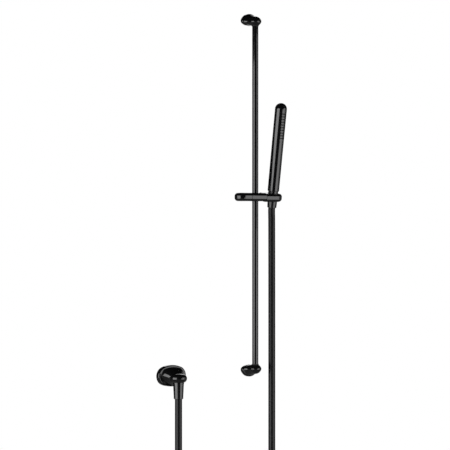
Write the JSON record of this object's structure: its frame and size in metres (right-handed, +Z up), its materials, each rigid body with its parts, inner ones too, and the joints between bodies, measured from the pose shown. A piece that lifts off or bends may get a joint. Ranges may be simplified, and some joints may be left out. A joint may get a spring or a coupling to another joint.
{
  "type": "shower slide rail",
  "caption": "Wall-mounted shower slide rail: round rail on drop-shaped brackets, pill-shaped slider with a clamping knob, tilting holder, stick handset, hose and wall outlet.",
  "frame": {"origin": "on the wall plane, halfway between the two brackets' screw holes", "axes": "+Z up along the rail, +X to the right along the wall, +Y into the wall"},
  "size_m": [0.3304, 0.0861, 1.3346],
  "materials": {
    "gloss_black_metal": "gloss black coating",
    "gloss_black_shell": "gloss black",
    "black_spray_plate": "gloss black",
    "black_hose": "smooth gloss black",
    "black_silicone": "soft matt black",
    "black_acetal": "moulded",
    "white_acetal": "moulded",
    "black_rubber": "matt",
    "bright_steel": "bright",
    "plain_brass": "turned"
  },
  "bodies": {
    "root": {"rail_tube": "gloss_black_metal", "elbow_body": "gloss_black_metal", "wall_nipple": "plain_brass", "elbow_o_ring": "black_rubber", "elbow_gasket": "black_rubber", "elbow_grub_screw": "bright_steel", "outlet_nipple": "plain_brass", "check_valve": "white_acetal", "lower_hose_nut": "gloss_black_metal", "lower_hose_tail": "plain_brass", "lower_hose_washer": "black_rubber", "hose": "black_hose", "upper_bracket": "gloss_black_metal", "upper_wall_plate": "bright_steel", "upper_grub_screw": "bright_steel", "upper_rail_bush": "black_rubber", "upper_rail_plug": "black_acetal", "lower_bracket": "gloss_black_metal", "lower_wall_plate": "bright_steel", "lower_grub_screw": "bright_steel", "lower_rail_bush": "black_rubber", "lower_rail_plug": "black_acetal"},
    "carriage": {"glide_sleeve": "black_acetal"},
    "slider": {"slider_body": "gloss_black_metal", "friction_washer": "white_acetal", "pivot_screw": "bright_steel", "wave_washer": "bright_steel", "knob_washer": "white_acetal"},
    "brake": {"brake_pad": "black_acetal"},
    "knob": {"knob": "gloss_black_metal", "knob_spindle": "bright_steel"},
    "holder": {"holder": "gloss_black_metal", "holder_liner": "black_acetal", "handset_shell": "gloss_black_shell", "spray_plate": "black_spray_plate", "spray_nozzles": "black_silicone", "handset_connector": "gloss_black_metal", "flow_regulator": "white_acetal", "upper_hose_nut": "gloss_black_metal", "upper_hose_tail": "plain_brass", "upper_hose_washer": "black_rubber"}
  },
  "joints": [
    {"name": "slider_slide", "type": "slide", "parent": "root", "child": "carriage", "axis": [0, 0, 1], "range_m": [-0.36, 0.37], "deforming": ["hose"]},
    {"name": "slider_swivel", "type": "hinge", "parent": "carriage", "child": "slider", "pos_m": [0, -0.026, -0.0045], "axis": [0, 0, 1], "range_deg": [-8, 8], "deforming": ["hose"]},
    {"name": "holder_tilt", "type": "hinge", "parent": "slider", "child": "holder", "pos_m": [0.026, -0.026, -0.0045], "axis": [1, 0, 0], "range_deg": [-10, 20], "deforming": ["hose"]},
    {"name": "knob_turn", "type": "hinge", "parent": "slider", "child": "knob", "pos_m": [-0.03, -0.026, -0.0045], "axis": [1, 0, 0], "range_deg": [0, 90]},
    {"name": "pad_travel", "type": "slide", "parent": "slider", "child": "brake", "axis": [1, 0, 0], "range_m": [0, 0.0008]}
  ],
  "couplings": [
    {"joint": "pad_travel", "follows": "knob_turn", "m_per_rad": 0.000509}
  ]
}
